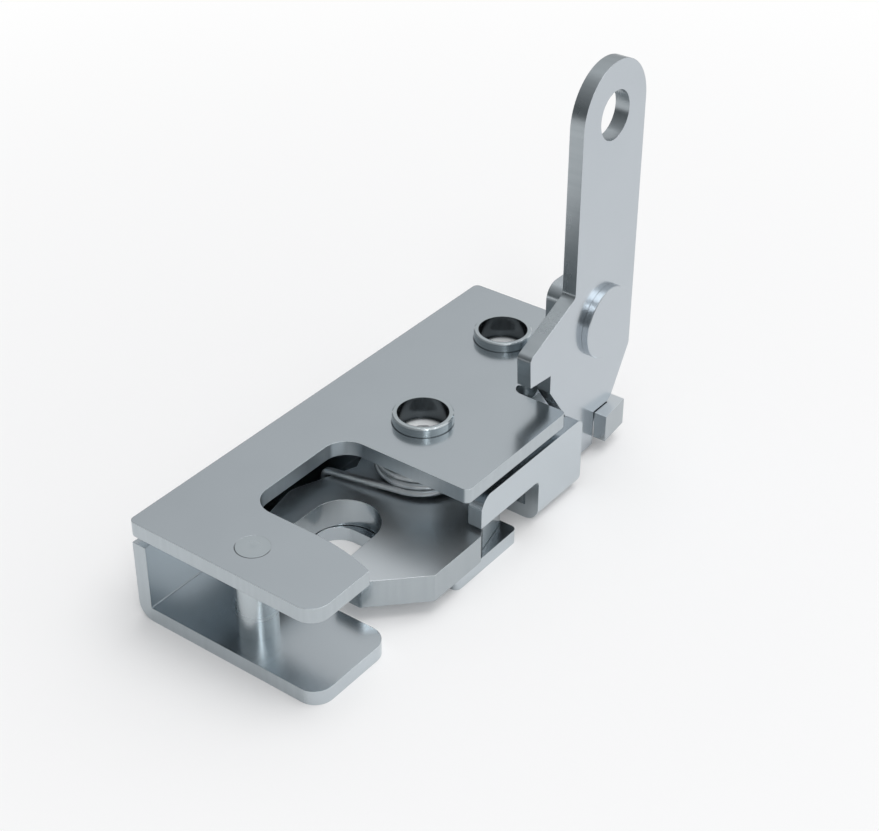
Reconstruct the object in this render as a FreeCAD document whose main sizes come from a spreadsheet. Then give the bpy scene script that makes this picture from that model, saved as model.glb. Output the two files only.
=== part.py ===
import FreeCAD, Part
import math
import os
import re
import Sketcher
from FreeCAD import Vector

# Compact rotary latch with a release lever, drawn latched and without its striker. Millimetres.
# The origin is on the front sleeve's axis at the underside; +Y points to the back, +Z up, and the
# striker enters from +X.

SIZES = {
    # sheets and housing
    "sheetThick": 2.0,
    "housingHeight": 14.0,
    "coverLeft": 14.75,
    "coverWidth": 28.0,
    "coverFront": 36.75,
    "coverLength": 68.5,
    "cornerRound": 2.5,
    "smallRound": 0.8,
    # striker slot, wider in the cover than in the floor
    "slotOffset": 17.2,
    "slotInner": 6.0,
    "coverSlotWidth": 17.15,
    "floorSlotWidth": 13.1,
    "slotRound": 3.2,
    "flareLength": 4.95,
    "flareDrop": 1.5,
    "flareRound": 28.0,
    # rear right cut-out of the cover and the ear bent up beside it
    "coverCutFront": 12.35,
    "reliefWidth": 1.5,
    "reliefEase": 0.1,
    "bendInner": 1.0,
    "earInset": 5.4,
    "earFront": 18.1,
    "earShoulder": 20.5,
    "earTop": 27.05,
    "earRound": 2.0,
    # channel-shaped floor sheet
    "floorInset": 0.3,
    "channelInner": 0.15,
    "leftFlangeGap": 1.05,
    "rightFlangeGap": 1.05,
    "flangeFront": 5.75,
    "flangeBack": 16.45,
    "flangeRound": 1.3,
    "tabLower": 6.6,
    "tabFrontRound": 2.1,
    "windowFront": 2.05,
    "windowBack": 6.7,
    "windowDepth": 7.0,
    "floorRearInset": 6.5,
    # post and sleeves
    "postFront": 31.75,
    "postRadius": 2.5,
    "postEndRadius": 2.05,
    "sleeveRadius": 4.7,
    "neckRadius": 3.9,
    "collarHeight": 1.3,
    "screwRadius": 1.7,
    "headRadius": 3.25,
    "headDepth": 3.1,
    "collarRound": 0.15,
    "rearX": -3.5,
    "rearY": 22.25,
    # plates that move between the sheets
    "leafThick": 3.9,
    "leafGap": 0.1,
    "turnGap": 0.05,
    # rotor
    "hubRadius": 8.6,
    "hookRight": 13.65,
    "hookRear": 6.35,
    "hookFlank": 15.65,
    "hookTip": 22.0,
    "tipRound": 0.7,
    "throatLeft": 6.1,
    "throatWidth": 9.3,
    "throatFlare": 0.3,
    "throatCentre": 14.15,
    "armRootX": 7.6,
    "armRootY": 4.0,
    "armWideX": 11.1,
    "armWideY": 13.0,
    "armTipX": 9.3,
    "rimStartX": 12.4,
    "rimStartY": 4.3,
    "rimX": 11.0,
    "rimY": 1.5,
    "rimRound": 5.0,
    "shoulderRadius": 9.85,
    "shoulderAngle": 33.0,
    "cornerEase": 0.4,
    # trigger
    "triggerHub": 7.6,
    "noseRadius": 8.8,
    "noseAngle": 50.5,
    "noseFace": 31.0,
    "noseWidth": 2.05,
    "strutInset": 2.4,
    "strutY": 15.5,
    "strutInnerX": 0.8,
    "strutInnerY": 15.3,
    "tailFront": 20.0,
    "tailGap": 0.3,
    "barDepth": 2.05,
    "prongGap": 0.1,
    "prongWidth": 1.85,
    "prongTaper": 0.5,
    "prongTip": 24.7,
    # release lever
    "sideGap": 0.05,
    "pivotY": 25.45,
    "pivotZ": 20.05,
    "leverTop": 55.75,
    "leverFront": 18.6,
    "leverBack": 32.6,
    "leverTopRound": 6.95,
    "eyeY": 25.55,
    "eyeDrop": 7.0,
    "eyeRadius": 3.2,
    "bellyZ": 26.4,
    "noseTopY": 8.85,
    "noseTopZ": 22.1,
    "noseLowY": 9.1,
    "noseLowZ": 17.9,
    "stepY": 13.6,
    "stepZ": 17.45,
    "stepDrop": 2.6,
    "footFrontY": 20.3,
    "footFrontZ": 5.4,
    "footBottom": 0.9,
    "footBack": 27.85,
    "footSlant": 1.6,
    "heelY": 28.9,
    "heelZ": 6.9,
    "heelTopZ": 13.2,
    "prongReliefDepth": 1.1,
    "prongReliefFront": 0.05,
    "prongReliefTop": 0.15,
    # lever rivet
    "rivetRadius": 2.6,
    "rivetHeadRadius": 4.95,
    "rivetHeadThick": 0.95,
    "rivetHeadEase": 0.1,
    "rivetGap": 0.02,
    "rivetTailRadius": 3.6,
    "rivetTailThick": 0.9,
    # springs
    "wireRadius": 0.5,
    "coilRadius": 5.75,
    "coilPitch": 1.1,
    "coilTurns": 2.0,
    "springGap": 0.06,
    "hookBend": 1.2,
    "hookDrop": 2.6,
    "rotorHookX": 10.0,
    "rotorHookY": 7.65,
    "triggerHookY": 10.85,
    "triggerHookGap": 0.4,
    "flangeReachAngle": 135.0,
}

document = FreeCAD.newDocument("RotaryLatch")
sheet = document.addObject("Spreadsheet::Sheet", "sizes")
for row, (alias, value) in enumerate(SIZES.items(), start=1):
    sheet.set("A%d" % row, alias)
    sheet.set("B%d" % row, str(value))
    sheet.setAlias("B%d" % row, alias)
document.recompute()

aliasWords = re.compile(r"\b(" + "|".join(sorted(SIZES, key=len, reverse=True)) + r")\b")

# Places that several pieces share, as expressions on the sheet
coverTop = "housingHeight"
coverUnder = "(housingHeight-sheetThick)"
right = "(coverWidth-coverLeft)"
leftFlangeTop = "(housingHeight-sheetThick-leftFlangeGap)"
rightFlangeTop = "(housingHeight-sheetThick-rightFlangeGap)"
front = "(-coverFront)"
back = "(coverLength-coverFront)"
floorLeft = "(-coverLeft+floorInset)"
channelOuter = "(sheetThick+channelInner)"
earOuter = "(coverWidth-coverLeft-earInset)"
floorRearRight = "(coverWidth-coverLeft-floorRearInset)"
bendX = "(coverWidth-coverLeft-earInset-sheetThick-bendInner)"
bendZ = "(housingHeight+bendInner)"
leafBottom = "(sheetThick+leafGap)"
leafTop = "(sheetThick+leafGap+leafThick)"
leverInner = "(coverWidth-coverLeft-earInset+sideGap)"
leverOuter = "(coverWidth-coverLeft-earInset+sideGap+sheetThick)"
barFront = "(footBack+turnGap)"
barBack = "(footBack+turnGap+barDepth)"
noseX = "(noseRadius*cos(noseAngle))"
noseY = "(noseRadius*sin(noseAngle))"
noseOuterX = "(noseRadius*cos(noseAngle)+noseWidth*cos(noseFace))"
noseOuterY = "(noseRadius*sin(noseAngle)+noseWidth*sin(noseFace))"
strutX = "(" + leverInner + "-tailGap-strutInset)"
strutHookShare = "((rearY-triggerHookY-" + noseOuterY + ")/(strutY-" + noseOuterY + "))"
strutHookX = "(" + noseOuterX + "+(" + strutX + "-" + noseOuterX + ")*" + strutHookShare + ")"


def bound(text):
    return aliasWords.sub(r"sizes.\1", text)


def number(text):
    return float(sheet.evalExpression(bound(text)))


def newBody(name):
    body = document.addObject("PartDesign::Body", name)
    body.Label = name
    return body


# A sketch on one of the body's own planes, moved along the plane's normal
def newSketch(body, name, role, offset="0"):
    sketch = body.newObject("Sketcher::SketchObject", name)
    plane = [item for item in body.Origin.OriginFeatures if item.Role == role][0]
    sketch.AttachmentSupport = [(plane, "")]
    sketch.MapMode = "FlatFace"
    sketch.setExpression("AttachmentOffset.Base.z", bound(offset))
    return sketch


def tie(sketch, kind, geometry, point, text):
    if point is None:
        index = sketch.addConstraint(Sketcher.Constraint(kind, geometry, number(text)))
    else:
        index = sketch.addConstraint(Sketcher.Constraint(kind, -1, 1, geometry, point, number(text)))
    sketch.setExpression("Constraints[%d]" % index, bound(text))


# Closed outline whose corners are all measured from the sketch's origin
def addOutline(sketch, corners):
    points = [Vector(number(across), number(along), 0) for across, along in corners]
    count = len(points)
    first = sketch.GeometryCount
    for i in range(count):
        sketch.addGeometry(Part.LineSegment(points[i], points[(i + 1) % count]), False)
    for i in range(count):
        following = first + (i + 1) % count
        sketch.addConstraint(Sketcher.Constraint("Coincident", first + i, 2, following, 1))
    for i, (across, along) in enumerate(corners):
        tie(sketch, "DistanceX", first + i, 1, across)
        tie(sketch, "DistanceY", first + i, 1, along)


def addCircle(sketch, across, along, radius):
    centre = Vector(number(across), number(along), 0)
    index = sketch.addGeometry(Part.Circle(centre, Vector(0, 0, 1), number(radius)), False)
    tie(sketch, "DistanceX", index, 3, across)
    tie(sketch, "DistanceY", index, 3, along)
    tie(sketch, "Radius", index, None, radius)


# Quarter of a sheet's bend: an arc-ended ring between two straight ends at a right angle
def addBend(sketch, across, along, inner, outer, startAngle):
    centre = Vector(number(across), number(along), 0)
    ends = [math.radians(startAngle), math.radians(startAngle + 90)]
    arcs = []
    for radius in (inner, outer):
        circle = Part.Circle(centre, Vector(0, 0, 1), number(radius))
        arcs.append(sketch.addGeometry(Part.ArcOfCircle(circle, ends[0], ends[1]), False))
        tie(sketch, "DistanceX", arcs[-1], 3, across)
        tie(sketch, "DistanceY", arcs[-1], 3, along)
        tie(sketch, "Radius", arcs[-1], None, radius)
    for point, angle in ((1, ends[0]), (2, ends[1])):
        low = centre + Vector(math.cos(angle), math.sin(angle), 0) * number(inner)
        high = centre + Vector(math.cos(angle), math.sin(angle), 0) * number(outer)
        line = sketch.addGeometry(Part.LineSegment(low, high), False)
        sketch.addConstraint(Sketcher.Constraint("Coincident", line, 1, arcs[0], point))
        sketch.addConstraint(Sketcher.Constraint("Coincident", line, 2, arcs[1], point))
        level = abs(math.sin(angle)) < 0.5
        sketch.addConstraint(Sketcher.Constraint("Horizontal" if level else "Vertical", line))


def pad(body, sketch, length, backwards=False):
    feature = body.newObject("PartDesign::Pad", sketch.Name + "Pad")
    feature.Profile = sketch
    feature.setExpression("Length", bound(length))
    feature.Reversed = backwards
    document.recompute()
    return feature


# A cut that must take material away; it runs against the sketch's normal unless turned round
def pocket(body, sketch, length, backwards=False):
    before = body.Shape.Volume
    feature = body.newObject("PartDesign::Pocket", sketch.Name + "Pocket")
    feature.Profile = sketch
    feature.setExpression("Length", bound(length))
    feature.Reversed = backwards
    document.recompute()
    if not body.Shape.Volume < before:
        raise RuntimeError(feature.Name + " cuts nothing")
    return feature


def revolve(body, sketch, axis):
    feature = body.newObject("PartDesign::Revolution", sketch.Name + "Turn")
    feature.Profile = sketch
    feature.ReferenceAxis = (sketch, [axis])
    feature.Angle = 360
    document.recompute()
    return feature


# Rounds the straight edges that stand on the given corners, seen along one axis (0, 1 or 2)
def roundCorners(body, name, axis, corners, radius, limits=None):
    kept = [i for i in range(3) if i != axis]
    targets = [(number(across), number(along)) for across, along in corners]
    found = []
    for index, edge in enumerate(body.Shape.Edges, start=1):
        ends = [vertex.Point for vertex in edge.Vertexes]
        if len(ends) < 2 or edge.Curve.TypeId != "Part::GeomLine":
            continue
        middle = (ends[0] + ends[1]) * 0.5
        if limits and not number(limits[0]) < middle[axis] < number(limits[1]):
            continue
        for across, along in targets:
            near = [abs(p[kept[0]] - across) + abs(p[kept[1]] - along) for p in ends]
            if max(near) < 1e-4:
                found.append("Edge%d" % index)
    if len(found) < len(targets):
        raise RuntimeError("%s: %d of %d corners found" % (name, len(found), len(targets)))
    base = body.Tip
    feature = body.newObject("PartDesign::Fillet", name)
    feature.Base = (base, found)
    feature.setExpression("Radius", bound(radius))
    document.recompute()
    return feature


def slotFront(width):
    return "(-slotOffset-%s/2)" % width


def slotBack(width):
    return "(-slotOffset+%s/2)" % width


# Cover sheet: flat, open to the right at the striker slot, with one ear bent up at the back
def makeTopPlate():
    body = newBody("top_plate")
    near = slotFront("coverSlotWidth")
    far = slotBack("coverSlotWidth")
    blank = newSketch(body, "coverBlank", "XY_Plane", coverUnder)
    addOutline(blank, [
        ("-coverLeft", front),
        (right, front),
        (right, near + "-flareDrop"),
        (right + "-flareLength", near),
        ("-slotInner", near),
        ("-slotInner", far),
        (right, far),
        (right, "coverCutFront"),
        (bendX, "coverCutFront"),
        (bendX, back),
        ("-coverLeft", back),
    ])
    pad(body, blank, "sheetThick")

    bend = newSketch(body, "earBend", "XZ_Plane", "-(coverCutFront+reliefWidth)")
    addBend(bend, bendX, bendZ, "bendInner", "(bendInner+sheetThick)", -90)
    pad(body, bend, "coverLength-coverFront-coverCutFront-reliefWidth", True)

    ear = newSketch(body, "earBlank", "YZ_Plane", earOuter + "-sheetThick")
    addOutline(ear, [
        ("coverCutFront+reliefWidth", bendZ),
        (back, bendZ),
        (back, "earTop"),
        ("earFront", "earTop"),
        ("earFront", "earShoulder"),
    ])
    pad(body, ear, "sheetThick")

    holes = newSketch(body, "coverHoles", "XY_Plane", coverTop)
    addCircle(holes, "0", "0", "neckRadius")
    addCircle(holes, "rearX", "rearY", "neckRadius")
    addCircle(holes, "0", "-postFront", "postEndRadius")
    pocket(body, holes, "sheetThick")

    pivot = newSketch(body, "earHole", "YZ_Plane", earOuter)
    addCircle(pivot, "pivotY", "pivotZ", "rivetRadius")
    pocket(body, pivot, "sheetThick")

    roundCorners(body, "coverCorners", 2, [(right, front)], "cornerRound")
    roundCorners(body, "slotFlare", 2, [(right + "-flareLength", near)], "flareRound")
    roundCorners(body, "reliefEnd", 2, [(bendX, "coverCutFront")], "reliefWidth-reliefEase")
    roundCorners(body, "coverSlotCorners", 2, [("-slotInner", near), ("-slotInner", far)], "slotRound")
    roundCorners(body, "coverSmallCorners", 2,
                 [("-coverLeft", front), ("-coverLeft", back), (right, far), (right, "coverCutFront")],
                 "smallRound")
    roundCorners(body, "earCorners", 0, [("earFront", "earTop"), (back, "earTop")], "earRound")
    return body


# Floor sheet: a channel with a full left flange and a stepped right flange that ends in a tab
def makeBottomPlate():
    body = newBody("bottom_plate")
    near = slotFront("floorSlotWidth")
    far = slotBack("floorSlotWidth")
    leftBend = "(" + floorLeft + "+" + channelOuter + ")"
    rightBend = "(" + right + "-" + channelOuter + ")"
    windowLeft = "(coverWidth-coverLeft-windowDepth)"
    blank = newSketch(body, "floorBlank", "XY_Plane")
    addOutline(blank, [
        (leftBend, front),
        (right, front),
        (right, near),
        ("-slotInner", near),
        ("-slotInner", far),
        (right, far),
        (right, "windowFront"),
        (windowLeft, "windowFront"),
        (windowLeft, "windowBack"),
        (rightBend, "windowBack"),
        (rightBend, "flangeBack"),
        (floorRearRight, "flangeBack"),
        (floorRearRight, back),
        (leftBend, back),
    ])
    pad(body, blank, "sheetThick")

    leftTurn = newSketch(body, "leftBend", "XZ_Plane", "coverFront")
    addBend(leftTurn, leftBend, channelOuter, "channelInner", channelOuter, 180)
    pad(body, leftTurn, "coverLength", True)
    leftWall = newSketch(body, "leftFlange", "YZ_Plane", floorLeft)
    addOutline(leftWall, [
        (front, channelOuter),
        (back, channelOuter),
        (back, leftFlangeTop),
        (front, leftFlangeTop),
    ])
    pad(body, leftWall, "sheetThick")

    rightTurn = newSketch(body, "rightBend", "XZ_Plane", "-windowBack")
    addBend(rightTurn, rightBend, channelOuter, "channelInner", channelOuter, 270)
    pad(body, rightTurn, "flangeBack-windowBack", True)
    rightWall = newSketch(body, "rightFlange", "YZ_Plane", "coverWidth-coverLeft-sheetThick")
    addOutline(rightWall, [
        ("windowBack", channelOuter),
        ("flangeBack", channelOuter),
        ("flangeBack", rightFlangeTop),
        ("-flangeFront", rightFlangeTop),
        ("-flangeFront", "tabLower"),
        ("windowBack", "tabLower"),
    ])
    pad(body, rightWall, "sheetThick")

    holes = newSketch(body, "floorHoles", "XY_Plane", "sheetThick")
    addCircle(holes, "0", "0", "neckRadius")
    addCircle(holes, "rearX", "rearY", "neckRadius")
    addCircle(holes, "0", "-postFront", "postEndRadius")
    pocket(body, holes, "sheetThick")

    roundCorners(body, "floorCorners", 2, [(right, front), (right, near)], "cornerRound")
    roundCorners(body, "floorSlotCorners", 2, [("-slotInner", near), ("-slotInner", far)], "slotRound")
    roundCorners(body, "floorSmallCorners", 2,
                 [(right, far), (right, "windowFront"), (floorRearRight, back)], "smallRound")
    sheetRange = ("coverWidth-coverLeft-sheetThick-bendInner", right)
    roundCorners(body, "tabFrontCorner", 0, [("-flangeFront", rightFlangeTop)], "tabFrontRound", sheetRange)
    roundCorners(body, "flangeCorner", 0, [("flangeBack", rightFlangeTop)], "flangeRound", sheetRange)
    roundCorners(body, "tabCorner", 0, [("windowBack", "tabLower")], "smallRound", sheetRange)
    return body


# Shouldered rivet: the thick middle spaces the sheets, the thin ends fill their holes flush
def makeFrontPost():
    body = newBody("front_post")
    body.setExpression("Placement.Base.y", bound("-postFront"))
    half = newSketch(body, "postHalf", "XZ_Plane")
    addOutline(half, [
        ("0", "0"),
        ("postEndRadius", "0"),
        ("postEndRadius", "sheetThick"),
        ("postRadius", "sheetThick"),
        ("postRadius", coverUnder),
        ("postEndRadius", coverUnder),
        ("postEndRadius", coverTop),
        ("0", coverTop),
    ])
    revolve(body, half, "V_Axis")
    return body


# Sleeve: spaces the sheets, stands up as a collar and takes a screw with its head sunk inside
def makeSleeve(name, across, along):
    body = newBody(name)
    body.setExpression("Placement.Base.x", bound(across))
    body.setExpression("Placement.Base.y", bound(along))
    rim = "(housingHeight+collarHeight)"
    half = newSketch(body, name + "Half", "XZ_Plane")
    addOutline(half, [
        ("screwRadius", "0"),
        ("neckRadius", "0"),
        ("neckRadius", "sheetThick"),
        ("sleeveRadius", "sheetThick"),
        ("sleeveRadius", coverUnder),
        ("neckRadius", coverUnder),
        ("neckRadius", rim + "-collarRound"),
        ("neckRadius-collarRound", rim),
        ("headRadius", rim),
        ("headRadius", rim + "-headDepth"),
        ("screwRadius", rim + "-headDepth"),
    ])
    revolve(body, half, "V_Axis")
    return body


# Forked plate: the throat holds the striker, the hook closes the slot, and a step on the rim is the
# shoulder that the trigger's nose blocks
def makeRotor():
    body = newBody("rotor")
    throatRight = "(throatWidth-throatLeft)"
    throatX = "(throatWidth/2-throatLeft)"
    hub = newSketch(body, "rotorHub", "XY_Plane", leafBottom)
    addCircle(hub, "0", "0", "hubRadius")
    pad(body, hub, "leafThick")
    shoulderX = "(shoulderRadius*cos(shoulderAngle))"
    shoulderY = "(shoulderRadius*sin(shoulderAngle))"
    fork = newSketch(body, "rotorFork", "XY_Plane", leafBottom)
    addOutline(fork, [
        ("-armRootX", "-armRootY"),
        ("-armWideX", "-armWideY"),
        ("-armTipX", "-hookTip"),
        ("hookRight-hookTip+hookFlank", "-hookTip"),
        ("hookRight", "-hookFlank"),
        ("hookRight", "-hookRear"),
        ("rimStartX", "-rimStartY"),
        ("rimX", "rimY"),
        (shoulderX, shoulderY),
        ("0", "0"),
    ])
    pad(body, fork, "leafThick")
    roundCorners(body, "rotorRim", 2, [("rimX", "rimY")], "rimRound")
    roundCorners(body, "rotorArm", 2, [("-armWideX", "-armWideY")], "slotRound")
    roundCorners(body, "rotorTips", 2, [("hookRight-hookTip+hookFlank", "-hookTip"),
                                        ("-armTipX", "-hookTip"), ("rimStartX", "-rimStartY")], "tipRound")
    roundCorners(body, "rotorShoulder", 2, [(shoulderX, shoulderY)], "cornerEase")

    throat = newSketch(body, "rotorThroat", "XY_Plane", leafTop)
    addOutline(throat, [
        ("-throatLeft", "-throatCentre"),
        ("-throatLeft", "-hookTip-tipRound"),
        (throatRight + "+throatFlare", "-hookTip-tipRound"),
        (throatRight, "-throatCentre"),
    ])
    pocket(body, throat, "leafThick")
    closed = newSketch(body, "throatEnd", "XY_Plane", leafTop)
    addCircle(closed, throatX, "-throatCentre", "throatWidth/2")
    pocket(body, closed, "leafThick")
    bore = newSketch(body, "rotorBore", "XY_Plane", leafTop)
    addCircle(bore, "0", "0", "sleeveRadius+turnGap")
    pocket(body, bore, "leafThick")
    return body


# Trigger: a strut with the locking nose in front, and a tail that hooks round the lever's foot
def makeTrigger():
    body = newBody("trigger")
    hub = newSketch(body, "triggerHubDisc", "XY_Plane", leafBottom)
    addCircle(hub, "rearX", "rearY", "triggerHub")
    pad(body, hub, "leafThick")
    slotLeft = "(" + leverInner + "-tailGap)"
    slotRight = "(" + leverOuter + "+prongGap)"
    prongOuter = "(" + leverOuter + "+prongGap+prongWidth)"
    plate = newSketch(body, "triggerPlate", "XY_Plane", leafBottom)
    addOutline(plate, [
        (noseX, noseY),
        (noseOuterX, noseOuterY),
        (strutX, "strutY"),
        (slotLeft, "tailFront"),
        (slotLeft, barFront),
        (slotRight, barFront),
        (slotRight, "prongTip"),
        (prongOuter, "prongTip"),
        (prongOuter + "-prongTaper", barBack),
        ("rearX", barBack),
        ("rearX", "rearY"),
        ("-strutInnerX", "strutInnerY"),
    ])
    pad(body, plate, "leafThick")
    roundCorners(body, "noseCorners", 2, [(noseX, noseY)], "cornerEase")
    roundCorners(body, "strutCorner", 2, [(strutX, "strutY")], "slotRound")
    roundCorners(body, "tailCorner", 2, [(slotLeft, "tailFront")], "smallRound")
    bore = newSketch(body, "triggerBore", "XY_Plane", leafTop)
    addCircle(bore, "rearX", "rearY", "sleeveRadius+turnGap")
    pocket(body, bore, "leafThick")
    return body


# Release lever: flat plate outside the ear with an eye, a stop nose in front and a foot below
def makeLever():
    body = newBody("release_lever")
    blank = newSketch(body, "leverBlank", "YZ_Plane", leverInner)
    addOutline(blank, [
        ("leverFront", "leverTop"),
        ("leverFront", "bellyZ"),
        ("noseTopY", "noseTopZ"),
        ("noseLowY", "noseLowZ"),
        ("stepY", "stepZ"),
        ("stepY", "stepZ-stepDrop"),
        ("footFrontY", "footFrontZ"),
        ("footFrontY", "footBottom"),
        ("footBack-footSlant", "footBottom"),
        ("footBack", leafTop),
        ("heelY", "heelZ"),
        ("leverBack", "heelTopZ"),
        ("leverBack", "leverTop"),
    ])
    pad(body, blank, "sheetThick")
    holes = newSketch(body, "leverHoles", "YZ_Plane", leverOuter)
    addCircle(holes, "eyeY", "leverTop-eyeDrop", "eyeRadius")
    addCircle(holes, "pivotY", "pivotZ", "rivetRadius+turnGap")
    pocket(body, holes, "sheetThick")
    roundCorners(body, "leverTopCorners", 0,
                 [("leverFront", "leverTop"), ("leverBack", "leverTop")], "leverTopRound")
    roundCorners(body, "leverSmallCorners", 0,
                 [("leverFront", "bellyZ"), ("noseTopY", "noseTopZ"), ("leverBack", "heelTopZ"),
                  ("footFrontY", "footFrontZ")],
                 "smallRound")
    # The foot is coined thinner beside the trigger's prong, which swings in as the trigger turns
    relief = newSketch(body, "prongRelief", "YZ_Plane", leverOuter)
    addOutline(relief, [
        ("prongTip-prongReliefFront", "0"),
        ("footBack+barDepth", "0"),
        ("footBack+barDepth", leafTop + "+prongReliefTop"),
        ("prongTip-prongReliefFront", leafTop + "+prongReliefTop"),
    ])
    pocket(body, relief, "prongReliefDepth")
    return body


# Rivet through ear and lever: a flat disc outside, a peened end inside
def makeLeverRivet():
    body = newBody("lever_rivet")
    body.setExpression("Placement.Base.y", bound("pivotY"))
    body.setExpression("Placement.Base.z", bound("pivotZ"))
    inner = "(" + earOuter + "-sheetThick)"
    outer = "(" + leverOuter + "+rivetGap)"
    half = newSketch(body, "rivetHalf", "XZ_Plane")
    addOutline(half, [
        (inner + "-rivetTailThick", "0"),
        (inner + "-rivetTailThick", "rivetTailRadius-collarRound"),
        (inner + "-rivetTailThick+collarRound", "rivetTailRadius"),
        (inner, "rivetTailRadius"),
        (inner, "rivetRadius"),
        (outer, "rivetRadius"),
        (outer, "rivetHeadRadius"),
        (outer + "+rivetHeadThick-rivetHeadEase", "rivetHeadRadius"),
        (outer + "+rivetHeadThick", "rivetHeadRadius-rivetHeadEase"),
        (outer + "+rivetHeadThick", "0"),
    ])
    revolve(body, half, "H_Axis")
    return body


# Torsion spring about a sleeve. The lower leg leaves the coil along its tangent, crosses the leaf and
# bends down over the leaf's edge; the upper leg reaches the left flange. turn is 1 for a coil that
# rises counterclockwise and -1 for clockwise. Its centre line is one smooth wire: two legs at the
# coil's own slope, a bend and a helix.
def makeSpring(name, across, along, hookX, hookY, turn):
    radius = number("coilRadius")
    wire = number("wireRadius")
    pitch = number("coilPitch")
    slope = pitch / (2 * math.pi * radius)
    hook = Vector(number(hookX) - number(across), number(hookY) - number(along), 0)
    spread = math.degrees(math.acos(radius / hook.Length))
    startAngle = math.degrees(math.atan2(hook.y, hook.x)) + turn * spread
    reachAngle = number("flangeReachAngle") * turn
    sweep = (reachAngle - startAngle) * turn % 360 + 360 * number("coilTurns")
    legLength = math.sqrt(hook.Length ** 2 - radius ** 2)
    cornerZ = number(leafTop) + wire + number("springGap")
    startZ = cornerZ + slope * legLength

    helix = Part.makeHelix(pitch, pitch * sweep / 360, radius, 0, turn < 0)
    helix.rotate(Vector(), Vector(0, 0, 1), startAngle)
    helix.translate(Vector(0, 0, startZ))
    ends = [vertex.Point for vertex in helix.Vertexes]
    start = min(ends, key=lambda p: p.z)
    finish = max(ends, key=lambda p: p.z)

    # Lower leg, with a round bend and a short drop at its end
    corner = Vector(hook.x, hook.y, cornerZ)
    inward = (start - corner).normalize()
    down = Vector(0, 0, -1)
    halfTurn = (math.pi - inward.getAngle(down)) / 2
    bendRadius = number("hookBend")
    setback = bendRadius * math.tan(halfTurn)
    bendStart = corner + inward * setback
    bendEnd = corner + down * setback
    bisector = (inward + down).normalize()
    middle = corner + bisector * (bendRadius / math.cos(halfTurn) - bendRadius)
    drop = corner + down * number("hookDrop")
    # Upper leg, straight on from the coil to the flange's inner face
    reach = Vector(-math.sin(math.radians(reachAngle)), math.cos(math.radians(reachAngle)), 0) * turn
    reach.z = slope
    wall = number("-coverLeft+floorInset+sheetThick") + wire + number("springGap") - number(across)
    tip = finish + reach * ((wall - finish.x) / reach.x)
    path = Part.Wire([
        Part.LineSegment(drop, bendEnd).toShape(),
        Part.Arc(bendEnd, middle, bendStart).toShape(),
        Part.LineSegment(bendStart, start).toShape(),
        *helix.Edges,
        Part.LineSegment(finish, tip).toShape(),
    ])
    section = Part.Wire(Part.Circle(drop, down, wire).toShape())
    shape = path.makePipeShell([section], True, True)
    spring = document.addObject("Part::Feature", name)
    spring.Label = name
    spring.Shape = shape
    spring.Placement = FreeCAD.Placement(Vector(number(across), number(along), 0), FreeCAD.Rotation())
    return spring


pieces = [
    makeTopPlate(),
    makeBottomPlate(),
    makeFrontPost(),
    makeSleeve("front_bushing", "0", "0"),
    makeSleeve("rear_bushing", "rearX", "rearY"),
    makeRotor(),
    makeTrigger(),
    makeLever(),
    makeLeverRivet(),
    makeSpring("rotor_spring", "0", "0", "-rotorHookX", "-rotorHookY", 1),
    makeSpring("trigger_spring", "rearX", "rearY", strutHookX + "+wireRadius+triggerHookGap",
               "rearY-triggerHookY", -1),
]
document.recompute()

for item in document.Objects:
    if "Invalid" in item.State or "Error" in item.State:
        raise RuntimeError("%s failed" % item.Label)
for piece in pieces:
    if piece.Shape.isNull() or not piece.Shape.isValid():
        raise RuntimeError("%s has no valid shape" % piece.Label)

os.makedirs("parts", exist_ok=True)
for piece in pieces:
    piece.Shape.exportStep("parts/%s.step" % piece.Label)
    box = piece.Shape.BoundBox
    print("%-15s %8.1f mm3  %d solid  x %.2f..%.2f  y %.2f..%.2f  z %.2f..%.2f" % (
        piece.Label, piece.Shape.Volume, len(piece.Shape.Solids),
        box.XMin, box.XMax, box.YMin, box.YMax, box.ZMin, box.ZMax))
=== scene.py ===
import bpy
import math
import numpy as np
from mathutils import Matrix, Vector


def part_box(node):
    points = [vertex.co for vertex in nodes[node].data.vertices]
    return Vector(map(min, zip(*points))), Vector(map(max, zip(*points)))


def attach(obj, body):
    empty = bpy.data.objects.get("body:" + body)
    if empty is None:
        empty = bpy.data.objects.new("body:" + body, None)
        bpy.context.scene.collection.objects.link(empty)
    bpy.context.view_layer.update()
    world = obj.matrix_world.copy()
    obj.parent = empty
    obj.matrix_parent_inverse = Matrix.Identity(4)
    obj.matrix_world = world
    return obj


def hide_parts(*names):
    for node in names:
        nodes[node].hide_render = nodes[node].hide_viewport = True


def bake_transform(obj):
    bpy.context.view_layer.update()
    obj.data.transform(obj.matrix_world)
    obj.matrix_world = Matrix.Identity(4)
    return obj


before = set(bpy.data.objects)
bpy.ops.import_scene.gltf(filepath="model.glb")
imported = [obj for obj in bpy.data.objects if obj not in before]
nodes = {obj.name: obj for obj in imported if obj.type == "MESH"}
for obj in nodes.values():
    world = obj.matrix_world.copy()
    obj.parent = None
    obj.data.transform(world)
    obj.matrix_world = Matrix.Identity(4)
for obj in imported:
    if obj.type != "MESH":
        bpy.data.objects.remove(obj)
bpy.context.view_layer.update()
print("frame loaded:", len(nodes), "nodes")


# Small helpers

# Gives a socket a link from another socket, or a plain value.
def feed(tree, value, socket):
    if isinstance(value, bpy.types.NodeSocket):
        tree.links.new(value, socket)
    else:
        socket.default_value = value


def newNode(tree, kind, inputs=None, **settings):
    node = tree.nodes.new(kind)
    for key, value in settings.items():
        setattr(node, key, value)
    for key, value in (inputs or {}).items():
        feed(tree, value, node.inputs[key])
    return node


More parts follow.
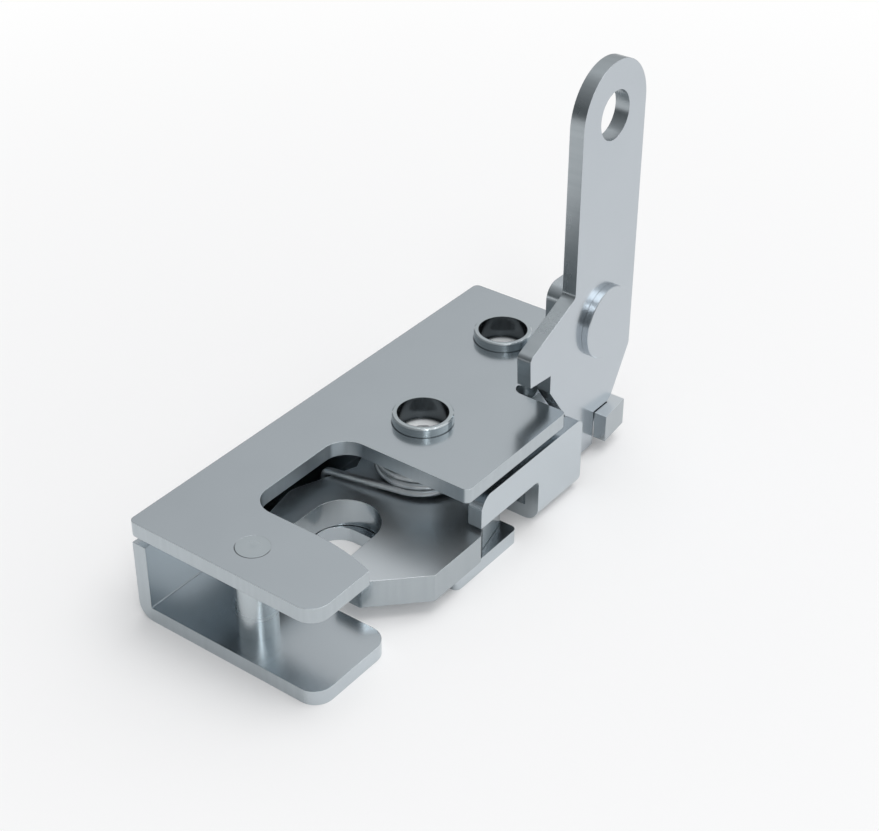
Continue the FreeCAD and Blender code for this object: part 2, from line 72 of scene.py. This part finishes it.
def calc(tree, operation, a, b=None, clamp=False):
    inputs = {0: a} if b is None else {0: a, 1: b}
    return newNode(tree, "ShaderNodeMath", inputs, operation=operation, use_clamp=clamp).outputs[0]


def vectorCalc(tree, operation, a, b=None):
    inputs = {0: a} if b is None else {0: a, 1: b}
    node = newNode(tree, "ShaderNodeVectorMath", inputs, operation=operation)
    return node.outputs["Value" if operation in ("DOT_PRODUCT", "LENGTH") else "Vector"]


# Two masks, each times its own share, added.
def addShares(tree, a, shareA, b, shareB):
    return calc(tree, "ADD", calc(tree, "MULTIPLY", a, shareA), calc(tree, "MULTIPLY", b, shareB))


# A value taken linearly from one span to another, clamped at the ends.
def remap(tree, value, span, onto=(0.0, 1.0)):
    limits = {"From Min": span[0], "From Max": span[1], "To Min": onto[0], "To Max": onto[1]}
    return newNode(tree, "ShaderNodeMapRange", {"Value": value, **limits}).outputs["Result"]


noiseMiddle = (0.35, 0.65)  # the part of its range that most of a noise fills


def noise(tree, place, scale, detail=2.0, roughness=0.5):
    inputs = {"Vector": place, "Scale": scale, "Detail": detail, "Roughness": roughness}
    return newNode(tree, "ShaderNodeTexNoise", inputs).outputs["Fac"]


def mixColour(tree, factor, first, second):
    return newNode(tree, "ShaderNodeMix", {0: factor, 6: first, 7: second}, data_type="RGBA").outputs[2]


def objectPlace(tree):
    return newNode(tree, "ShaderNodeTexCoord").outputs["Object"]


def flatNormal(tree):
    return newNode(tree, "ShaderNodeNewGeometry").outputs["Normal"]


# A shader group with its inputs (label, kind, value) and outputs (label, kind).
def newGroup(name, inputs, outputs):
    group = bpy.data.node_groups.new(name, "ShaderNodeTree")
    for label, kind, value in inputs:
        group.interface.new_socket(label, in_out="INPUT", socket_type=kind).default_value = value
    for label, kind in outputs:
        group.interface.new_socket(label, in_out="OUTPUT", socket_type=kind)
    return group, newNode(group, "NodeGroupInput").outputs, newNode(group, "NodeGroupOutput").inputs


def useGroup(tree, group, inputs):
    return newNode(tree, "ShaderNodeGroup", inputs, node_tree=group).outputs


def startMaterial(name, metal=1.0):
    material = bpy.data.materials.new(name)
    material.use_nodes = True
    tree = material.node_tree
    shader = tree.nodes["Principled BSDF"]
    shader.inputs["Metallic"].default_value = metal
    return material, tree, shader


# Relief from a height, over the normal of rounded edges where one is given.
def addRelief(tree, shader, look, height, rounded=None):
    inputs = {"Strength": look["relief"], "Distance": look["reliefDepth"], "Height": height}
    if rounded is not None:
        inputs["Normal"] = rounded
    feed(tree, newNode(tree, "ShaderNodeBump", inputs).outputs["Normal"], shader.inputs["Normal"])


# Shared effects

# The spans that the masks fade over, the least share of a worn edge, and how much of the way along the
# stroke the punch lines leave out.
effectLook = {
    "bevelSamples": 6, "wornLean": (0.995, 0.8), "wornGrains": (0.3, 0.62), "wornLeast": 0.35,
    "cutLean": (0.35, 0.1), "leftOut": 0.94, "openSide": (-0.1, 0.35), "seatSpan": (0.55, 0.97),
}


# Where an edge is worn: how far the rounded normal leans from the flat one, broken up by noise.
def makeEdgeWear(look):
    group, given, out = newGroup(
        "edgeWear",
        [("Radius", "NodeSocketFloat", 0.0002), ("Breakup", "NodeSocketFloat", 900.0)],
        [("Mask", "NodeSocketFloat"), ("Normal", "NodeSocketVector")],
    )
    bevel = newNode(group, "ShaderNodeBevel", {"Radius": given["Radius"]}, samples=look["bevelSamples"])
    rounded = bevel.outputs["Normal"]
    edge = remap(group, vectorCalc(group, "DOT_PRODUCT", rounded, flatNormal(group)), look["wornLean"])
    grains = noise(group, objectPlace(group), given["Breakup"], detail=3.0)
    broken = remap(group, grains, look["wornGrains"], (look["wornLeast"], 1.0))
    feed(group, calc(group, "MULTIPLY", edge, broken, clamp=True), out["Mask"])
    feed(group, rounded, out["Normal"])
    return group


# Rolled sheet under zinc: long faint streaks, soft clouds and a fine crystal speckle.
def makeRolledZinc():
    group, given, out = newGroup(
        "rolledZinc",
        [("Streak Scale", "NodeSocketVector", (900.0, 40.0, 900.0)),
         ("Cloud Scale", "NodeSocketFloat", 120.0), ("Speckle Scale", "NodeSocketFloat", 3200.0)],
        [("Streaks", "NodeSocketFloat"), ("Clouds", "NodeSocketFloat"), ("Speckle", "NodeSocketFloat")],
    )
    place = objectPlace(group)
    along = vectorCalc(group, "MULTIPLY", place, given["Streak Scale"])
    feed(group, noise(group, along, 1.0, detail=3.0, roughness=0.6), out["Streaks"])
    feed(group, noise(group, place, given["Cloud Scale"], detail=3.0), out["Clouds"])
    feed(group, noise(group, place, given["Speckle Scale"]), out["Speckle"])
    return group


# Cut faces of a punched sheet, with lines along the punch's stroke. Flange is the way the faces of bent-up
# flanges look: they are rolled like the floor, so the mask leaves them out.
def makePunchedCut(look):
    group, given, out = newGroup(
        "punchedCut",
        [("Stroke", "NodeSocketVector", (0.0, 0.0, 1.0)), ("Flange", "NodeSocketVector", (0.0, 0.0, 0.0)),
         ("Line Scale", "NodeSocketFloat", 2600.0)],
        [("Mask", "NodeSocketFloat"), ("Lines", "NodeSocketFloat")],
    )
    normal = flatNormal(group)
    shares = []
    for way in ("Stroke", "Flange"):
        lean = calc(group, "ABSOLUTE", vectorCalc(group, "DOT_PRODUCT", normal, given[way]))
        shares.append(remap(group, lean, look["cutLean"]))
    feed(group, calc(group, "MULTIPLY", *shares), out["Mask"])
    # With most of its way along the stroke left out of the place, the noise draws lines along the stroke
    place = objectPlace(group)
    height = vectorCalc(group, "DOT_PRODUCT", place, given["Stroke"])
    inputs = {0: given["Stroke"], "Scale": calc(group, "MULTIPLY", height, -look["leftOut"])}
    back = newNode(group, "ShaderNodeVectorMath", inputs, operation="SCALE").outputs["Vector"]
    feed(group, noise(group, vectorCalc(group, "ADD", place, back), given["Line Scale"]), out["Lines"])
    return group


# Lathe marks: rings about an axis through Centre, by the distance from that axis and the height along it.
def makeTurnedRings():
    group, given, out = newGroup(
        "turnedRings",
        [("Centre", "NodeSocketVector", (0.0, 0.0, 0.0)), ("Axis", "NodeSocketVector", (0.0, 0.0, 1.0)),
         ("Ring Scale", "NodeSocketFloat", 3000.0)],
        [("Rings", "NodeSocketFloat")],
    )
    offset = vectorCalc(group, "SUBTRACT", objectPlace(group), given["Centre"])
    height = vectorCalc(group, "DOT_PRODUCT", offset, given["Axis"])
    radius = vectorCalc(group, "LENGTH", vectorCalc(group, "CROSS_PRODUCT", offset, given["Axis"]))
    pair = newNode(group, "ShaderNodeCombineXYZ", {"X": radius, "Y": height}).outputs["Vector"]
    feed(group, noise(group, pair, given["Ring Scale"]), out["Rings"])
    return group


# The level way from an upright axis through a centre to each point, and how far that is.
def fromAxis(group, centre):
    offset = vectorCalc(group, "SUBTRACT", objectPlace(group), centre)
    level = vectorCalc(group, "MULTIPLY", offset, (1.0, 1.0, 0.0))
    return level, vectorCalc(group, "LENGTH", level)


# A thin line of painted shade round the end of a part that fills its hole flush, standing in for the shade
# in the
# joint: strongest towards one side, where the hole's rim is open, and gone on the other.
def makePaintedJointShade(look):
    group, given, out = newGroup(
        "paintedJointShade",
        [("Centre", "NodeSocketVector", (0.0, 0.0, 0.0)), ("Radius", "NodeSocketFloat", 0.0021),
         ("Width", "NodeSocketFloat", 0.00016), ("Open Side", "NodeSocketVector", (0.35, -0.94, 0.0))],
        [("Mask", "NodeSocketFloat")],
    )
    level, radius = fromAxis(group, given["Centre"])
    away = calc(group, "ABSOLUTE", calc(group, "SUBTRACT", radius, given["Radius"]))
    line = calc(group, "SUBTRACT", 1.0, calc(group, "DIVIDE", away, given["Width"]), clamp=True)
    side = vectorCalc(group, "DOT_PRODUCT", vectorCalc(group, "NORMALIZE", level), given["Open Side"])
    feed(group, calc(group, "MULTIPLY", line, remap(group, side, look["openSide"])), out["Mask"])
    return group


# The inside of a stepped bore about an upright axis: one mask for painted shade on its walls, and one for a
# painted highlight on the seat round the through hole, which fades out just before the wide bore's wall.
def makeBorePaintedLight(look):
    group, given, out = newGroup(
        "borePaintedLight",
        [("Centre", "NodeSocketVector", (0.0, 0.0, 0.0)), ("Radius", "NodeSocketFloat", 0.0033),
         ("Hole", "NodeSocketFloat", 0.0018)],
        [("Painted Shade", "NodeSocketFloat"), ("Bright", "NodeSocketFloat")],
    )
    radius = fromAxis(group, given["Centre"])[1]
    inside = calc(group, "LESS_THAN", radius, given["Radius"])
    # How far a point is from the hole's rim, as a share of the step between the two radii
    step = calc(group, "SUBTRACT", given["Radius"], given["Hole"])
    away = calc(group, "DIVIDE", calc(group, "SUBTRACT", radius, given["Hole"]), step)
    # The painted highlight on the seat, and painted shade on the rest of the inside
    bright = calc(group, "MULTIPLY", inside, remap(group, away, look["seatSpan"], (1.0, 0.0)))
    feed(group, bright, out["Bright"])
    feed(group, calc(group, "SUBTRACT", inside, bright), out["Painted Shade"])
    return group


edgeWear = makeEdgeWear(effectLook)
rolledZinc = makeRolledZinc()
punchedCut = makePunchedCut(effectLook)
turnedRings = makeTurnedRings()
paintedJointShade = makePaintedJointShade(effectLook)
borePaintedLight = makeBorePaintedLight(effectLook)
print("shared effects built")


# Zinc-plated sheet

# Sheet with rolled faces and punched edges. Stroke is the way the punch went, and streaks say how fine the
# rolling is.
def makeSheetZinc(name, look):
    material, tree, shader = startMaterial(name, look["metal"])
    worn = useGroup(tree, edgeWear, {"Radius": look["edgeRadius"]})
    rolled = useGroup(tree, rolledZinc, {"Streak Scale": look["streaks"], "Cloud Scale": look["clouds"]})
    cut = useGroup(tree, punchedCut, {
        "Stroke": look["stroke"], "Flange": look["flange"], "Line Scale": look["lines"],
    })
    clouds = remap(tree, rolled["Clouds"], noiseMiddle)
    lines = remap(tree, cut["Lines"], noiseMiddle)
    faceColour = mixColour(tree, clouds, look["dark"], look["pale"])
    cutColour = mixColour(tree, lines, look["cutDark"], look["cutPale"])
    colour = mixColour(tree, cut["Mask"], faceColour, cutColour)
    colour = mixColour(tree, calc(tree, "MULTIPLY", worn["Mask"], look["wear"]), colour, look["bright"])
    # Thin lines of painted shade where the post and the sleeves meet the plate
    for shadeRing in look["paintedJointShades"]:
        line = useGroup(tree, paintedJointShade, {
            "Centre": shadeRing["centre"], "Radius": shadeRing["radius"], "Width": shadeRing["width"],
            "Open Side": shadeRing["side"],
        })
        colour = mixColour(tree, line["Mask"], colour, look["jointShadeColour"])
    feed(tree, colour, shader.inputs["Base Color"])
    # Clouds and streaks shift the roughness by a few hundredths, and cut faces have a step of their own
    cloudShift = calc(tree, "MULTIPLY", rolled["Clouds"], look["cloudDepth"])
    base = calc(tree, "ADD", look["roughness"] - look["cloudDepth"] / 2, cloudShift)
    streaks = calc(tree, "MULTIPLY", calc(tree, "SUBTRACT", rolled["Streaks"], 0.5), look["streakDepth"])
    cutStep = calc(tree, "MULTIPLY", cut["Mask"], look["cutRough"])
    rough = calc(tree, "ADD", calc(tree, "ADD", base, streaks), cutStep, clamp=True)
    feed(tree, rough, shader.inputs["Roughness"])
    # Speckle and streaks stand out on the faces, punch lines on the cut sides
    grain = addShares(tree, rolled["Speckle"], look["speckleShare"], rolled["Streaks"], look["streakShare"])
    height = calc(tree, "ADD", grain, calc(tree, "MULTIPLY", cut["Lines"], cut["Mask"]))
    addRelief(tree, shader, look, height, worn["Normal"])
    return material


housingLook = {
    "dark": (0.560, 0.608, 0.640, 1.0), "pale": (0.572, 0.620, 0.652, 1.0),
    "bright": (0.74, 0.77, 0.79, 1.0), "wear": 0.15, "edgeRadius": 0.00007,
    "cutDark": (0.475, 0.520, 0.545, 1.0), "cutPale": (0.500, 0.545, 0.572, 1.0), "cutRough": 0.08,
    "stroke": (0.0, 0.0, 1.0), "flange": (0.0, 0.0, 0.0), "lines": 1500.0,
    "streaks": (900.0, 60.0, 900.0), "streakDepth": 0.03, "clouds": 110.0, "cloudDepth": 0.04,
    "roughness": 0.22, "metal": 1.0, "relief": 0.025, "reliefDepth": 0.000006,
    "speckleShare": 0.5, "streakShare": 0.5, "paintedJointShades": (),
}
coverLook = {
    **housingLook, "jointShadeColour": (0.03, 0.04, 0.05, 1.0),
    # Painted shade: thin dark lines round the post's end and the two sleeves, where they meet the cover
    "paintedJointShades": (
        {"centre": (0.0, -0.03175, 0.0), "radius": 0.0021, "width": 0.00012, "side": (0.35, -0.94, 0.0)},
        {"centre": (0.0, 0.0, 0.0), "radius": 0.00395, "width": 0.00012, "side": (0.45, -0.9, 0.0)},
        {"centre": (-0.0035, 0.02225, 0.0), "radius": 0.00395, "width": 0.00012, "side": (0.45, -0.9, 0.0)},
    ),
}
channelLook = {**housingLook, "flange": (1.0, 0.0, 0.0), "relief": 0.015}
leverLook = {
    **housingLook, "stroke": (1.0, 0.0, 0.0), "streaks": (900.0, 900.0, 60.0), "roughness": 0.20,
    "dark": (0.520, 0.562, 0.598, 1.0), "pale": (0.532, 0.574, 0.610, 1.0),
    # The lever's cut faces are painted darker than the housing's, as painted shade for the shaded floor they
    # mirror
    "cutDark": (0.400, 0.440, 0.462, 1.0), "cutPale": (0.430, 0.470, 0.492, 1.0),
}
# The leaves' faces are painted lighter than the housing's, as painted light for the cavity, and their cut
# faces darker, as painted shade
leafLook = {
    **housingLook, "roughness": 0.31, "clouds": 150.0, "metal": 0.97, "cutRough": -0.10,
    "dark": (0.700, 0.745, 0.775, 1.0), "pale": (0.715, 0.760, 0.790, 1.0),
    "cutDark": (0.415, 0.455, 0.478, 1.0), "cutPale": (0.440, 0.480, 0.502, 1.0),
}


# Zinc-plated turned parts

# Turned steel with lathe rings about its own axis, and where it has a bore, painted shade on the bore's
# walls and a painted highlight on its seat.
def makeTurnedZinc(name, look):
    material, tree, shader = startMaterial(name)
    worn = useGroup(tree, edgeWear, {"Radius": look["edgeRadius"]})
    rings = useGroup(tree, turnedRings, {
        "Centre": look["centre"], "Axis": look["axis"], "Ring Scale": look["rings"],
    })
    rolled = useGroup(tree, rolledZinc, {"Streak Scale": look["streaks"], "Cloud Scale": look["clouds"]})
    ringMask = remap(tree, rings["Rings"], noiseMiddle)
    colour = mixColour(tree, ringMask, look["dark"], look["pale"])
    marks = addShares(tree, ringMask, look["markDepth"], rolled["Clouds"], look["markDepth"])
    rough = calc(tree, "ADD", look["roughness"] - look["markDepth"], marks)
    if look["bore"] > 0:
        # Painted shade on the bore's walls and a painted highlight on its seat, which is also made less
        # metallic
        inside = useGroup(tree, borePaintedLight, {"Centre": look["centre"], "Radius": look["bore"]})
        colour = mixColour(tree, inside["Painted Shade"], colour, look["boreShadeColour"])
        colour = mixColour(tree, inside["Bright"], colour, look["seatHighlightColour"])
        rough = calc(tree, "ADD", rough, calc(tree, "MULTIPLY", inside["Bright"], look["seatRough"]))
        dull = calc(tree, "MULTIPLY", inside["Bright"], look["seatDull"])
        feed(tree, calc(tree, "SUBTRACT", 1.0, dull), shader.inputs["Metallic"])
    colour = mixColour(tree, calc(tree, "MULTIPLY", worn["Mask"], look["wear"]), colour, look["bright"])
    feed(tree, colour, shader.inputs["Base Color"])
    feed(tree, rough, shader.inputs["Roughness"])
    height = addShares(tree, rings["Rings"], look["ringShare"], rolled["Speckle"], look["speckleShare"])
    addRelief(tree, shader, look, height, worn["Normal"])
    return material


turnedLook = {
    "dark": (0.545, 0.600, 0.625, 1.0), "pale": (0.575, 0.628, 0.652, 1.0),
    "bright": (0.72, 0.75, 0.77, 1.0), "wear": 0.05, "edgeRadius": 0.00005,
    "axis": (0.0, 0.0, 1.0), "rings": 2200.0, "streaks": (900.0, 900.0, 900.0), "clouds": 200.0,
    "roughness": 0.17, "markDepth": 0.03,
    "relief": 0.06, "reliefDepth": 0.000006, "ringShare": 1.5, "speckleShare": 0.4,
    # The bore's colour is painted shade for its walls, and the seat's colour a painted highlight round its
    # through hole
    "bore": 0.0, "boreShadeColour": (0.08, 0.092, 0.10, 1.0),
    "seatHighlightColour": (0.92, 0.94, 0.95, 1.0), "seatRough": 0.25, "seatDull": 0.85,
}


# A node's look with the centre of its box, moved along its axis to the origin's level.
def centred(name, look):
    low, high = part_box(name)
    centre = tuple(0.0 if along else (a + b) / 2 for a, b, along in zip(low, high, look["axis"]))
    return {**look, "centre": centre}


def giveMaterial(name, material):
    mesh = nodes[name].data
    mesh.materials.clear()
    mesh.materials.append(material)


sleeveLook = {**turnedLook, "bore": 0.0033}
postLook = {**turnedLook, "rings": 600.0, "roughness": 0.26}
rivetLook = {
    **turnedLook, "axis": (1.0, 0.0, 0.0), "rings": 500.0, "roughness": 0.24,
    "edgeRadius": 0.00001, "wear": 0.0, "dark": leverLook["dark"], "pale": leverLook["pale"],
}
giveMaterial("top_plate", makeSheetZinc("coverZinc", coverLook))
giveMaterial("bottom_plate", makeSheetZinc("channelZinc", channelLook))
giveMaterial("release_lever", makeSheetZinc("leverZinc", leverLook))
# The leaves' finish carries painted light on its faces and painted shade on its cut faces
leafZincPaintedLight = makeSheetZinc("leafZincPaintedLight", leafLook)
for leaf in ("rotor", "trigger"):
    giveMaterial(leaf, leafZincPaintedLight)
for sleeve in ("front_bushing", "rear_bushing"):
    giveMaterial(sleeve, makeTurnedZinc(sleeve + "Zinc", centred(sleeve, sleeveLook)))
giveMaterial("front_post", makeTurnedZinc("postZinc", centred("front_post", postLook)))
giveMaterial("lever_rivet", makeTurnedZinc("rivetZinc", centred("lever_rivet", rivetLook)))
print("finishes given to the packed nodes")


# Springs

springLook = {
    "wire": 0.0005, "coil": 0.00575, "pitch": 0.0011, "turns": 2.0, "lowest": 0.00656,
    "bend": 0.0012, "drop": 0.0026, "reachAngle": 135.0, "wallX": -0.01189, "joint": 0.0003,
    "around": 16, "dropRows": 5, "bendRows": 14, "straightRows": 24, "helixRows": 150, "legRows": 40,
    "domeRows": 5, "domeHeight": 0.45, "domeTip": 0.12,
}
springPlaces = {
    "rotor_spring": {
        "centre": (0.0, 0.0), "hook": (-0.0100, -0.00765), "turn": 1, "body": "rotor",
    },
    "trigger_spring": {
        "centre": (-0.0035, 0.02225), "hook": (0.01075, -0.01085), "turn": -1, "body": "trigger",
    },
}


# A round tube along a path. Each ring of vertices is centre + wire * (side * cos(a) + other * sin(a)), where
# other is tangent x side, for every path point at once. A shallow dome of smaller rings closes both ends.
def makeTube(name, path, side, look):
    wire, around, domeRows = look["wire"], look["around"], look["domeRows"]
    tangent = np.gradient(path, axis=0)
    tangent /= np.linalg.norm(tangent, axis=1)[:, None]
    side = side - (side * tangent).sum(1)[:, None] * tangent
    side /= np.linalg.norm(side, axis=1)[:, None]
    dome = np.linspace(math.pi / 2, look["domeTip"], domeRows)[::-1]
    out = (wire * look["domeHeight"] * np.cos(dome))[:, None]
    centres = np.concatenate([path[:1] - tangent[:1] * out, path, path[-1:] + tangent[-1:] * out[::-1]])
    radii = np.concatenate([wire * np.sin(dome), np.full(len(path), wire), wire * np.sin(dome[::-1])])
    sides, ways = (
        np.concatenate([np.repeat(rows[:1], domeRows, 0), rows, np.repeat(rows[-1:], domeRows, 0)])
        for rows in (side, tangent)
    )
    angle = np.linspace(0, 2 * math.pi, around, endpoint=False)[None, :, None]
    ring = sides[:, None, :] * np.cos(angle) + np.cross(ways, sides)[:, None, :] * np.sin(angle)
    verts = (centres[:, None, :] + radii[:, None, None] * ring).reshape(-1, 3)
    row, col = np.meshgrid(np.arange(len(centres) - 1), np.arange(around), indexing="ij")
    after = (col + 1) % around
    quads = np.stack([row * around + col, row * around + after, (row + 1) * around + after,
                      (row + 1) * around + col], -1).reshape(-1, 4)
    last = (len(centres) - 1) * around
    caps = [list(range(around))[::-1], list(range(last, last + around))]
    mesh = bpy.data.meshes.new(name)
    mesh.from_pydata(verts.tolist(), [], quads.tolist() + caps)
    mesh.polygons.foreach_set("use_smooth", np.ones(len(mesh.polygons), bool))
    # The way along the wire in metres, for marks that follow it
    run = np.concatenate([[0.0], np.linalg.norm(np.diff(centres, axis=0), axis=1).cumsum()])
    layer = mesh.attributes.new("alongWire", "FLOAT", "POINT")
    layer.data.foreach_set("value", np.repeat(run, around).astype(np.float32))
    mesh.update()
    piece = bpy.data.objects.new(name, mesh)
    bpy.context.scene.collection.objects.link(piece)
    return piece


# The centre lines of a spring's two pieces. The coil's is in four runs: a short drop over the leaf's edge, a
# round bend, a straight run that meets the helix along its tangent, and the helix, which is
# centre + coil * (cos a, sin a) and rises by pitch a turn. The leg's is a straight line from the helix's end
# to the wall. Each comes with its tube's side directions, and last come the heights of the helix's ends.
def springLines(place, look):
    turn = place["turn"]
    up = np.array([0, 0, 1.0])
    centre = np.array([*place["centre"], 0.0])
    hook = np.array([*place["hook"], 0.0])
    reach = np.linalg.norm(hook)
    start = math.atan2(hook[1], hook[0]) + turn * math.acos(look["coil"] / reach)
    slope = look["pitch"] / (2 * math.pi * look["coil"])
    finish = math.radians(look["reachAngle"]) * turn
    sweep = ((finish - start) * turn) % (2 * math.pi) + 2 * math.pi * look["turns"]
    low = look["lowest"] + slope * math.sqrt(reach ** 2 - look["coil"] ** 2)
    a = np.linspace(0, sweep, look["helixRows"])
    outward = np.stack([np.cos(start + turn * a), np.sin(start + turn * a), 0 * a], 1)
    helix = look["coil"] * outward + up * (low + look["pitch"] * a / (2 * math.pi))[:, None]
    corner = hook + up * look["lowest"]
    inward = (helix[0] - corner) / np.linalg.norm(helix[0] - corner)
    t = np.linspace(0, 1, look["bendRows"])[:, None]
    first = corner - up * look["bend"]
    last = corner + inward * look["bend"]
    bend = (1 - t) ** 2 * first + 2 * t * (1 - t) * corner + t ** 2 * last
    drop = first - up * (look["drop"] - look["bend"]) * np.linspace(1, 0, look["dropRows"])[:-1, None]
    straight = last + (helix[0] - last) * np.linspace(0, 1, look["straightRows"])[1:-1, None]
    coilLine = np.concatenate([drop, bend, straight, helix]) + centre
    across = np.cross(up, inward)
    helixSides = -outward * turn
    if np.dot(across, helixSides[1]) < 0:
        helixSides *= -1
    hookSides = np.repeat(across[None], len(coilLine) - len(helix), 0)
    way = np.array([-math.sin(finish) * turn, math.cos(finish) * turn, slope])
    wallRun = (look["wallX"] - centre[0] - helix[-1][0]) / way[0]
    legLine = helix[-1] + way * np.linspace(-look["joint"], wallRun, look["legRows"])[:, None] + centre
    legSides = np.repeat(np.cross(up, way)[None], len(legLine), 0)
    return coilLine, np.concatenate([hookSides, helixSides]), legLine, legSides, (helix[0][2], helix[-1][2])


wireLook = {
    "dark": (0.66, 0.685, 0.70, 1.0), "pale": (0.78, 0.80, 0.81, 1.0),
    "rough": (0.30, 0.42), "roughSpan": (0.3, 0.7), "clouds": 420.0, "bands": 700.0, "fine": 2600.0,
    "relief": 0.3, "reliefDepth": 0.00001,
}


# Drawn spring wire under zinc: faint bands along the wire and soft clouds.
def makeWireZinc(look):
    material, tree, shader = startMaterial("wireZinc")
    place = objectPlace(tree)
    run = newNode(tree, "ShaderNodeAttribute", attribute_name="alongWire").outputs["Fac"]
    inputs = {"W": run, "Scale": look["bands"], "Detail": 2.0}
    bands = newNode(tree, "ShaderNodeTexNoise", inputs, noise_dimensions="1D").outputs["Fac"]
    clouds = noise(tree, place, look["clouds"], detail=3.0)
    mixed = calc(tree, "MULTIPLY", calc(tree, "ADD", clouds, bands), 0.5)
    colour = mixColour(tree, remap(tree, mixed, noiseMiddle), look["dark"], look["pale"])
    feed(tree, colour, shader.inputs["Base Color"])
    feed(tree, remap(tree, mixed, look["roughSpan"], look["rough"]), shader.inputs["Roughness"])
    addRelief(tree, shader, look, noise(tree, place, look["fine"]))
    return material


# Each spring is a coil, left where it is wound, and a leg attached to the housing; the part file's spring is
# hidden.
wireZinc = makeWireZinc(wireLook)
for name, place in springPlaces.items():
    coilLine, coilSides, legLine, legSides, heights = springLines(place, springLook)
    coil = makeTube(name + "_coil", coilLine, coilSides, springLook)
    leg = makeTube(name + "_leg", legLine, legSides, springLook)
    for piece in (coil, leg):
        piece.data.materials.append(wireZinc)
    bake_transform(coil)
    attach(leg, "housing")
    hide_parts(name)
print("springs wound")


# Floor, light and camera

floorLook = {
    "colour": (0.915, 0.91, 0.91, 1.0), "roughness": 0.85, "shine": 0.1, "reach": 3.0,
    "mirrored": (0.86, 0.87, 0.88, 1.0), "mirrorShare": 0.12,
    "backdrop": (1.0, 1.0, 1.0, 1.0), "backdropShare": (0.13, 1.0), "backdropSpan": (0.05, 0.20),
}
skyLook = {
    "paleSide": (0.25, 0.55, 0.65),
    "stops": (
        (0.25, (0.11, 0.12, 0.125, 1.0)), (0.66, (0.40, 0.41, 0.42, 1.0)),
        (0.80, (0.62, 0.63, 0.64, 1.0)), (0.97, (1.0, 1.0, 1.0, 1.0)),
    ),
}
lampLook = {
    "overheadBox": {"place": (0.16, 0.12, 0.90), "size": (0.8, 0.8), "power": 4.3},
    "sideBox": {"place": (0.42, -0.34, 0.58), "size": (0.14, 0.20), "power": 0.48},
}
lampTarget = (0.0, 0.0, 0.01)
cameraLook = {
    "eye": (0.11215, -0.14674, 0.13920),
    "right": (0.8004, 0.5995, 0.0021), "down": (0.3363, -0.4462, -0.8293),
    "lens": 73.2, "sensor": 36.0, "clip": (0.005, 20.0),
}


# The floor keeps the object's shadow and turns into the white backdrop with the distance from the object.
# The metal mirrors the floor itself, with a small share of an evenly pale one.
def makeFloor(look):
    ends = (-look["reach"], look["reach"])
    mesh = bpy.data.meshes.new("floor")
    mesh.from_pydata([(x, y, 0.0) for y in ends for x in ends], [], [(0, 1, 3, 2)])
    floor = bpy.data.objects.new("floor", mesh)
    bpy.context.scene.collection.objects.link(floor)
    material, tree, shader = startMaterial("paleFloor", 0.0)
    shader.inputs["Base Color"].default_value = look["colour"]
    shader.inputs["Roughness"].default_value = look["roughness"]
    shader.inputs["Specular IOR Level"].default_value = look["shine"]
    rays = newNode(tree, "ShaderNodeLightPath").outputs
    distance = vectorCalc(tree, "LENGTH", objectPlace(tree))
    faded = remap(tree, distance, look["backdropSpan"], look["backdropShare"])
    shown = shader.outputs[0]
    for ray, colour, share in (("Is Glossy Ray", look["mirrored"], look["mirrorShare"]),
                               ("Is Camera Ray", look["backdrop"], faded)):
        glow = newNode(tree, "ShaderNodeEmission", {"Color": colour, "Strength": 1.0}).outputs[0]
        part = calc(tree, "MULTIPLY", rays[ray], share)
        shown = newNode(tree, "ShaderNodeMixShader", {0: part, 1: shown, 2: glow}).outputs[0]
    feed(tree, shown, tree.nodes["Material Output"].inputs["Surface"])
    mesh.materials.append(material)


# The sky is a soft gradient by direction, dark in front and palest high up at the back. The camera sees the
# white backdrop in its place.
def makeSky(look, backdrop):
    world = bpy.data.worlds.new("softSky")
    bpy.context.scene.world = world
    world.use_nodes = True
    tree = world.node_tree
    way = newNode(tree, "ShaderNodeTexCoord").outputs["Generated"]
    slant = vectorCalc(tree, "DOT_PRODUCT", way, look["paleSide"])
    ramp = newNode(tree, "ShaderNodeValToRGB", {"Fac": remap(tree, slant, (-1.0, 1.0))})
    stops = ramp.color_ramp.elements
    for stop, (position, colour) in zip(stops, (look["stops"][0], look["stops"][-1])):
        stop.position, stop.color = position, colour
    for position, colour in look["stops"][1:-1]:
        stops.new(position).color = colour
    cameraRay = newNode(tree, "ShaderNodeLightPath").outputs["Is Camera Ray"]
    background = tree.nodes["Background"].inputs
    feed(tree, mixColour(tree, cameraRay, ramp.outputs["Color"], backdrop), background["Color"])
    background["Strength"].default_value = 1.0


def makeLamp(name, look):
    light = bpy.data.lights.new(name, "AREA")
    light.shape = "RECTANGLE"
    light.size, light.size_y = look["size"]
    light.energy = look["power"]
    lamp = bpy.data.objects.new(name, light)
    lamp.location = look["place"]
    lamp.rotation_euler = (Vector(lampTarget) - Vector(look["place"])).to_track_quat("-Z", "Y").to_euler()
    bpy.context.scene.collection.objects.link(lamp)


def makeCamera(look):
    data = bpy.data.cameras.new("camera")
    data.lens = look["lens"]
    data.sensor_fit = "HORIZONTAL"
    data.sensor_width = look["sensor"]
    data.clip_start, data.clip_end = look["clip"]
    camera = bpy.data.objects.new("camera", data)
    right = Vector(look["right"]).normalized()
    up = -Vector(look["down"])
    up = (up - right * up.dot(right)).normalized()
    turned = Matrix((right, up, right.cross(up))).transposed()
    camera.matrix_world = Matrix.Translation(look["eye"]) @ turned.to_4x4()
    bpy.context.scene.collection.objects.link(camera)
    bpy.context.scene.camera = camera


makeFloor(floorLook)
makeSky(skyLook, floorLook["backdrop"])
for name, look in lampLook.items():
    makeLamp(name, look)
makeCamera(cameraLook)
bpy.context.scene.view_settings.view_transform = "Standard"
print("stage, light and camera set")
